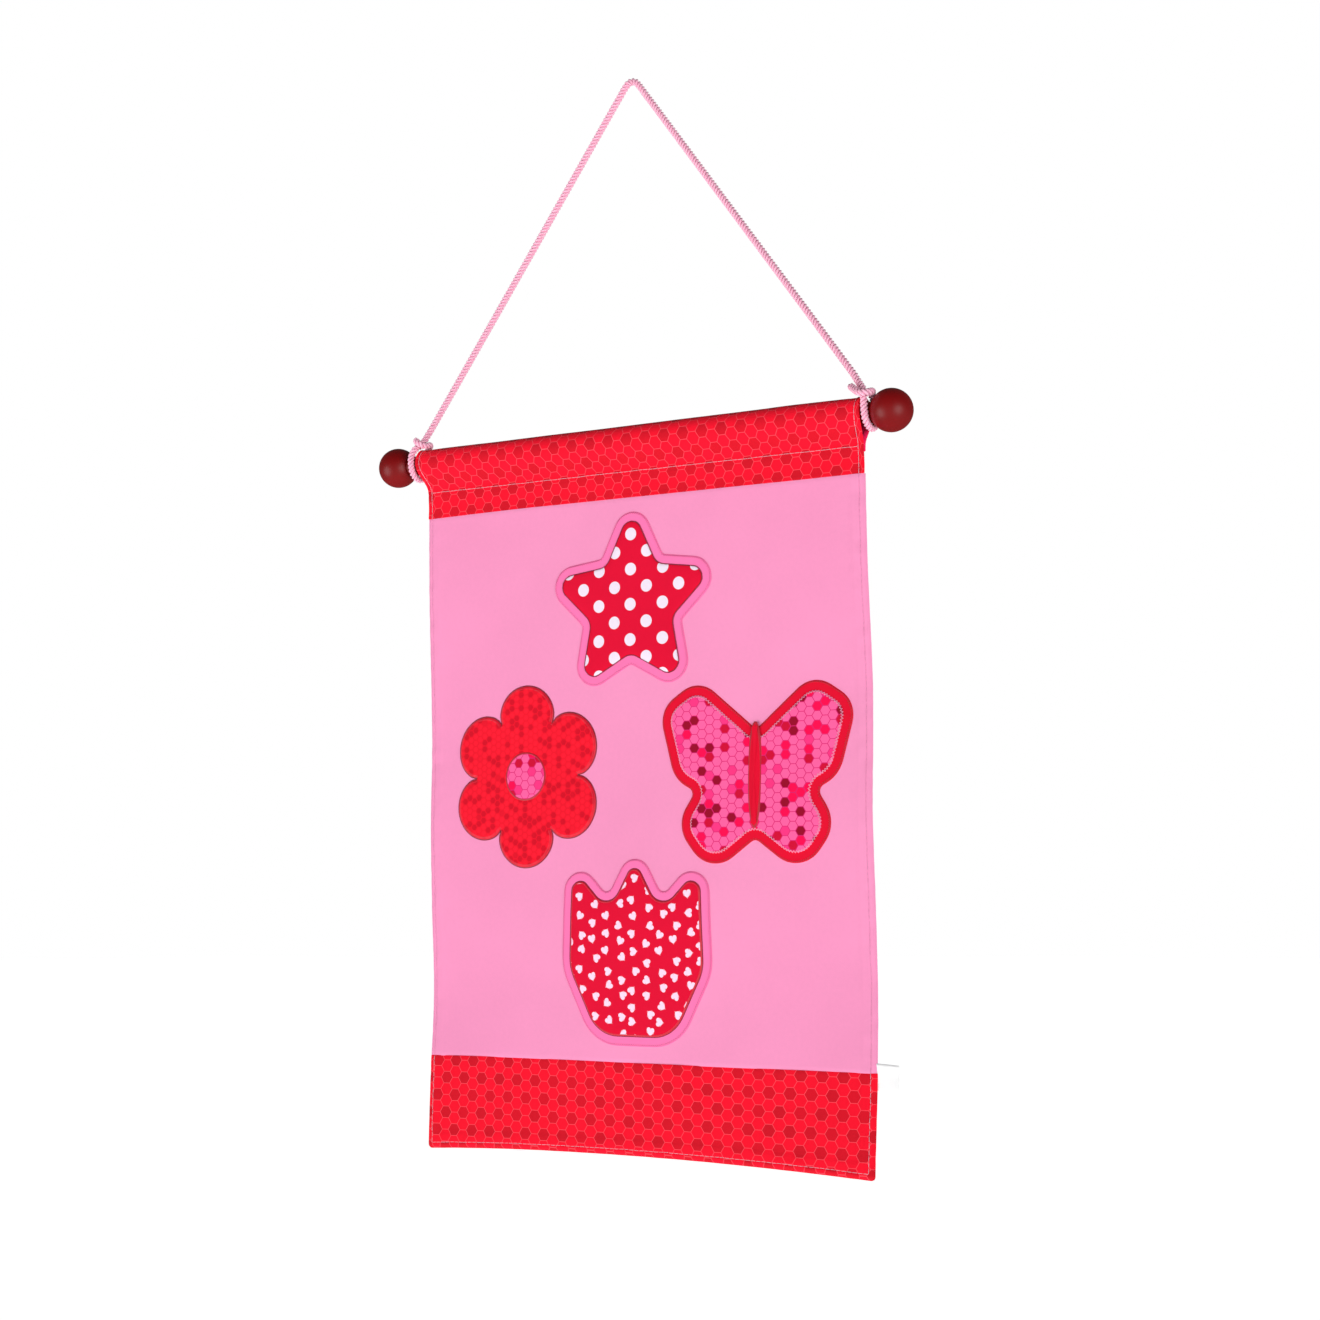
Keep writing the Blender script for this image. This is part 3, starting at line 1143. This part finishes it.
def zigzag_run(place, outline, inner, outer, high, low, pitch):
    """Closed run of zigzag stitches over an edge that steps from high down to low (mm)."""
    path = walked(outline, pitch / 2)
    inside, outside = grown(path, -inner), grown(path, outer)
    holes = [(outside[i], low) if i % 2 else (inside[i], high) for i in range(len(path))]
    holes.append(holes[0])
    points = []
    for (a, a_floor), (b, b_floor) in zip(holes, holes[1:]):
        points.append(on_panel(place, a, a_floor - HOLE_SINK))
        for share in (0.3, 0.7):
            points.append(on_panel(place, a.lerp(b, share), blend(a_floor, b_floor, share) + THREAD_CROWN))
    return points


pale_thread = make_thread("pale_pink_thread", 255, 164, 196)
halo_thread = make_thread("halo_pink_thread", 248, 116, 174)
red_thread = make_thread("red_thread", 204, 10, 42)
wine_thread = make_thread("wine_thread", 158, 8, 48)
BACKING_EDGE = (1.4, -0.2, 0.6, 0.25, 1.5)
NARROW_EDGE = (-0.1, 0.45)
for name, place, outline, section, thread, radius, slot in (
        ("star_zigzag", STAR_PLACE, star_cut, (0.3, 0.25, PIECE_TOP - 0.2, HALO_TOP, 0.9), wine_thread,
         FINE_THREAD, "spot_fabric"),
        ("tulip_zigzag", TULIP_PLACE, tulip_cut, (*NARROW_EDGE, HALO_TOP, HALO_TOP, 0.9), wine_thread,
         FINE_THREAD, "small_print_fabric"),
        ("flower_zigzag", FLOWER_PLACE, flower_cut, (*NARROW_EDGE, 0.0, 0.0, 0.9), wine_thread,
         FINE_THREAD, "tonal_fabric"),
        ("butterfly_zigzag", BUTTERFLY_PLACE, butterfly_cut, (1.2, 0.1, PIECE_TOP + 0.1, HALO_TOP, 1.9),
         pale_thread, THICK_THREAD, "pink_hexagon_fabric"),
        ("star_backing_zigzag", STAR_PLACE, star_wide, BACKING_EDGE, halo_thread, FINE_THREAD,
         "pink_halo_fabric"),
        ("tulip_backing_zigzag", TULIP_PLACE, tulip_wide, BACKING_EDGE, halo_thread, FINE_THREAD,
         "pink_halo_fabric"),
        ("butterfly_backing_zigzag", BUTTERFLY_PLACE, butterfly_wide, BACKING_EDGE, red_thread,
         FINE_THREAD, "red_halo_fabric")):
    edging = thread_piece(name, [zigzag_run(place, outline, *section)], thread, slot, radius)
    print(name, len(edging.data.polygons), "faces")

# %% [markdown]
# ## The flower's centre and the butterfly's body
# These two small pieces lie on top of the others, and each has its own satin rim.

# %% Sew on the small pieces
applied_piece("flower_middle", FLOWER_PLACE, centre_cut, 1.2, 0.6, 0.8, butterfly_cotton,
              "pink_hexagon_fabric", "flower_centre")
satin_rim("flower_middle_rim", FLOWER_PLACE, centre_cut, 1.1, 0.4, 1.8, 1.2, 0.3, 0.55, dark_red_satin,
          "pink_hexagon_fabric")
applied_piece("butterfly_trunk", BUTTERFLY_PLACE, body_cut, 1.35, 0.7, 1.0, red_halo_cotton,
              "red_halo_fabric", "butterfly_body")
satin_rim("butterfly_trunk_rim", BUTTERFLY_PLACE, body_cut, 1.0, 0.35, 2.0, 1.4, 0.25, 0.55,
          dark_red_satin, "red_halo_fabric")

# %% [markdown]
# ## Painted wood
# The balls are turned on a lathe and painted dark red with a satin gloss, like the rod. The paint is
# brushed thin, so it is a little uneven in colour and in gloss, and very faint turning rings remain under
# it. The rings are bands of noise along the rod's direction.

# %% Make the paint
paint, tree = start_finish("dark_red_paint")
place = add_node(tree, "TexCoord")["Object"]
clouds = scatter(tree, place, 70.0, 4.0)
along = add_node(tree, "CombineXYZ", add_node(tree, "SeparateXYZ", place)[0])[0]
rings, peel = scatter(tree, along, 1400.0), scatter(tree, place, 900.0)
end_finish(tree, mix_colour(tree, clouds, tint(116, 4, 7), tint(134, 8, 11)),
           reckon(tree, "ADD", rings, peel), 0.12, 0.05 * MM,
           Roughness=reckon(tree, "MULTIPLY_ADD", clouds, 0.08, 0.34), Specular_IOR_Level=0.3)
print("paint ready")

# %% [markdown]
# ## The balls and the rod
# A drilled ball is a turned shape, so its profile is spun once round the rod's axis: from the outer pole
# round to the mouth of the hole, and down the hole to its floor. The two ends of the profile lie on the
# axis and meet there. The rod is a cylinder whose ends sit in the holes.

# %% Turn the balls and the rod
BALL_RADIUS = 12.7 * MM
BALL_SPACING, BALL_MID_X = 349.0 * MM, -1.7 * MM
ROD_PLAY, HOLE_LIP = 0.32 * MM, 0.4 * MM
HOLE_RADIUS, HOLE_FLOOR = ROD_DIAMETER / 2 + ROD_PLAY, 3.0 * MM
PROFILE_STEPS, ROUND_STEPS = 30, 64


def turned_ball(name, side, node):
    bm = bmesh.new()
    mouth = math.pi - math.asin((HOLE_RADIUS + HOLE_LIP) / BALL_RADIUS)
    turns = [mouth * i / PROFILE_STEPS for i in range(PROFILE_STEPS + 1)]
    profile = [(BALL_RADIUS * math.cos(turn), BALL_RADIUS * math.sin(turn)) for turn in turns]
    hole_start = -math.sqrt(BALL_RADIUS ** 2 - HOLE_RADIUS ** 2) + HOLE_LIP
    profile += [(hole_start, HOLE_RADIUS), (HOLE_FLOOR, HOLE_RADIUS), (HOLE_FLOOR, 0.0)]
    centre = Vector((BALL_MID_X + side * BALL_SPACING / 2, 0.0, ROD_Z))
    chain = [bm.verts.new(centre + Vector((side * out, 0.0, radius))) for out, radius in profile]
    edges = [bm.edges.new(pair) for pair in zip(chain, chain[1:])]
    bmesh.ops.spin(bm, geom=chain + edges, cent=centre, axis=(1, 0, 0), angle=math.tau,
                   steps=ROUND_STEPS, use_merge=True)
    bmesh.ops.remove_doubles(bm, verts=bm.verts, dist=0.005 * MM)
    bmesh.ops.recalc_face_normals(bm, faces=bm.faces)
    ball = finished(bm, name, paint, smooth_angle=40)
    belongs(ball, "dark_red_paint", node)
    return ball


balls = [turned_ball("turned_ball_left", -1, "ball_left"), turned_ball("turned_ball_right", 1, "ball_right")]
rod_bm = bmesh.new()
half_rod = BALL_SPACING / 2 + HOLE_FLOOR - ROD_PLAY
bmesh.ops.create_cone(rod_bm, cap_ends=True, segments=ROUND_STEPS, radius1=ROD_DIAMETER / 2,
                      radius2=ROD_DIAMETER / 2, depth=2 * half_rod)
bmesh.ops.rotate(rod_bm, verts=rod_bm.verts, cent=(0, 0, 0),
                 matrix=Quaternion((0, 1, 0), math.pi / 2).to_matrix())
bmesh.ops.translate(rod_bm, verts=rod_bm.verts, vec=(BALL_MID_X, 0, ROD_Z))
rod = finished(rod_bm, "round_rod", paint, smooth_angle=40)
belongs(rod, "dark_red_paint", "rod")
print("balls:", [len(ball.data.polygons) for ball in balls], "rod:", len(rod.data.polygons))

# %% [markdown]
# ## The side label
# A short white tape is folded in two and caught in the side seam, and its fold stands out. The mesh is a
# grid whose lines run out along the front layer, round the fold and back, given a thin thickness.

# %% Fold the label
LABEL_DROP, LABEL_TALL, LABEL_OUT, LABEL_THICK = 369.0 * MM, 15.0 * MM, 13.0 * MM, 0.35 * MM
TUCKED_IN, BEHIND, FOLD_RADIUS = 0.6 * MM, 0.8 * MM, 0.22 * MM
LEAN_BACK, RIPPLE, DROOP = 1.5 * MM, 0.4 * MM, 1.0 * MM
label_start = side_at(LABEL_DROP, False) - TUCKED_IN
label_y = cloth_depth(label_start, LABEL_DROP + LABEL_TALL / 2) + BEHIND
outward = [LABEL_OUT * i / 12 for i in range(12)]
fold_turns = [math.pi * i / 6 for i in range(7)]
label_run = [Vector((out, -FOLD_RADIUS)) for out in outward]
label_run += [Vector((LABEL_OUT + FOLD_RADIUS * math.sin(turn), -FOLD_RADIUS * math.cos(turn)))
              for turn in fold_turns]
label_run += [Vector((out, FOLD_RADIUS)) for out in reversed(outward)]


def label_point(u, v):
    out, layer = label_run[int(u)]
    share = out / LABEL_OUT
    y = label_y + layer * (0.5 + 0.5 * share) + share * (LEAN_BACK + RIPPLE * math.sin(v * 5))
    return Vector((label_start + out, y, ROD_Z - LABEL_DROP - v * LABEL_TALL - DROOP * share))


label_tape = make_cotton("label_tape", plain(250, 250, 250), 0.03, 0.4, 0.3 * MM)
label = lay_sheet("folded_label", [float(i) for i in range(len(label_run))], [i / 10 for i in range(11)],
                  label_point, LABEL_THICK, (label_tape,),
                  lambda u, v: (label_run[int(u)].x, v * LABEL_TALL))
label.modifiers.remove(label.modifiers["folded edge"])
belongs(label, "label_tape", "side_label")
print("label:", len(label.data.polygons), "faces before thickness")

# %% [markdown]
# ## The studio
# The banner hangs in a white room over a plain pale floor, which throws no shadow and isn't mirrored in the
# paint. Two large soft lights stand low in front of it, one at each side of the camera, and the room itself
# gives light from all round, least from above. The world shows as white behind the banner, and lights it
# less than it shows. A glossy surface sees it darker still, as the paint would in front of dark walls. The
# standard view keeps the strong reds as they are typed.

# %% Set up the floor, the lights and the room
FLOOR_Z, FLOOR_RADIUS, FLOOR_GLOW = -0.95, 14.0, 0.96
WHITE, PALE, DIM = (1.0, 1.0, 1.0, 1.0), (0.9, 0.9, 0.9, 1.0), (0.1, 0.1, 0.1, 1.0)
ROOM_SIDES, ROOM_ABOVE = (0.56, 0.56, 0.57, 1.0), (0.03, 0.03, 0.03, 1.0)
floor_bm = bmesh.new()
bmesh.ops.create_circle(floor_bm, cap_ends=True, segments=64, radius=FLOOR_RADIUS)
bmesh.ops.translate(floor_bm, verts=floor_bm.verts, vec=(0, 0, FLOOR_Z))
floor_paint, tree = start_finish("floor_paint")
feed_named(tree, tree.nodes["Principled BSDF"], Base_Color=PALE, Roughness=0.9, Specular_IOR_Level=0.1,
           Emission_Color=WHITE, Emission_Strength=FLOOR_GLOW)
floor = finished(floor_bm, "studio_floor", floor_paint)
floor.visible_shadow = floor.visible_glossy = False


def soft_sun(name, from_turn, from_rise, strength, width):
    """A light from a direction: turn from straight ahead to the right, and height, in degrees."""
    data = bpy.data.lights.new(name, "SUN")
    data.energy, data.angle = strength, math.radians(width)
    turn, rise = math.radians(from_turn), math.radians(from_rise)
    source = Vector((math.sin(turn) * math.cos(rise), -math.cos(turn) * math.cos(rise), math.sin(rise)))
    lamp = bpy.data.objects.new(name, data)
    lamp.rotation_euler = (-source).to_track_quat("-Z", "Y").to_euler()
    bpy.context.scene.collection.objects.link(lamp)
    return lamp


soft_sun("key_light", 60, -8, 1.4, 38)
soft_sun("fill_light", -38, -18, 1.3, 38)
world = bpy.data.worlds.new("white_room")
world.use_nodes = True
bpy.context.scene.world = world
tree = world.node_tree
above = smooth_step(tree, add_node(tree, "SeparateXYZ", add_node(tree, "TexCoord")["Generated"])[2], 0.0, 0.5)
room = mix_colour(tree, above, ROOM_SIDES, ROOM_ABOVE)
ray = add_node(tree, "LightPath")
mirrored = mix_colour(tree, ray["Is Glossy Ray"], room, DIM)
shown = mix_colour(tree, ray["Is Camera Ray"], mirrored, WHITE)
tree.links.new(shown, tree.nodes["Background"].inputs["Color"])
bpy.context.scene.view_settings.view_transform = "Standard"
print("studio ready")
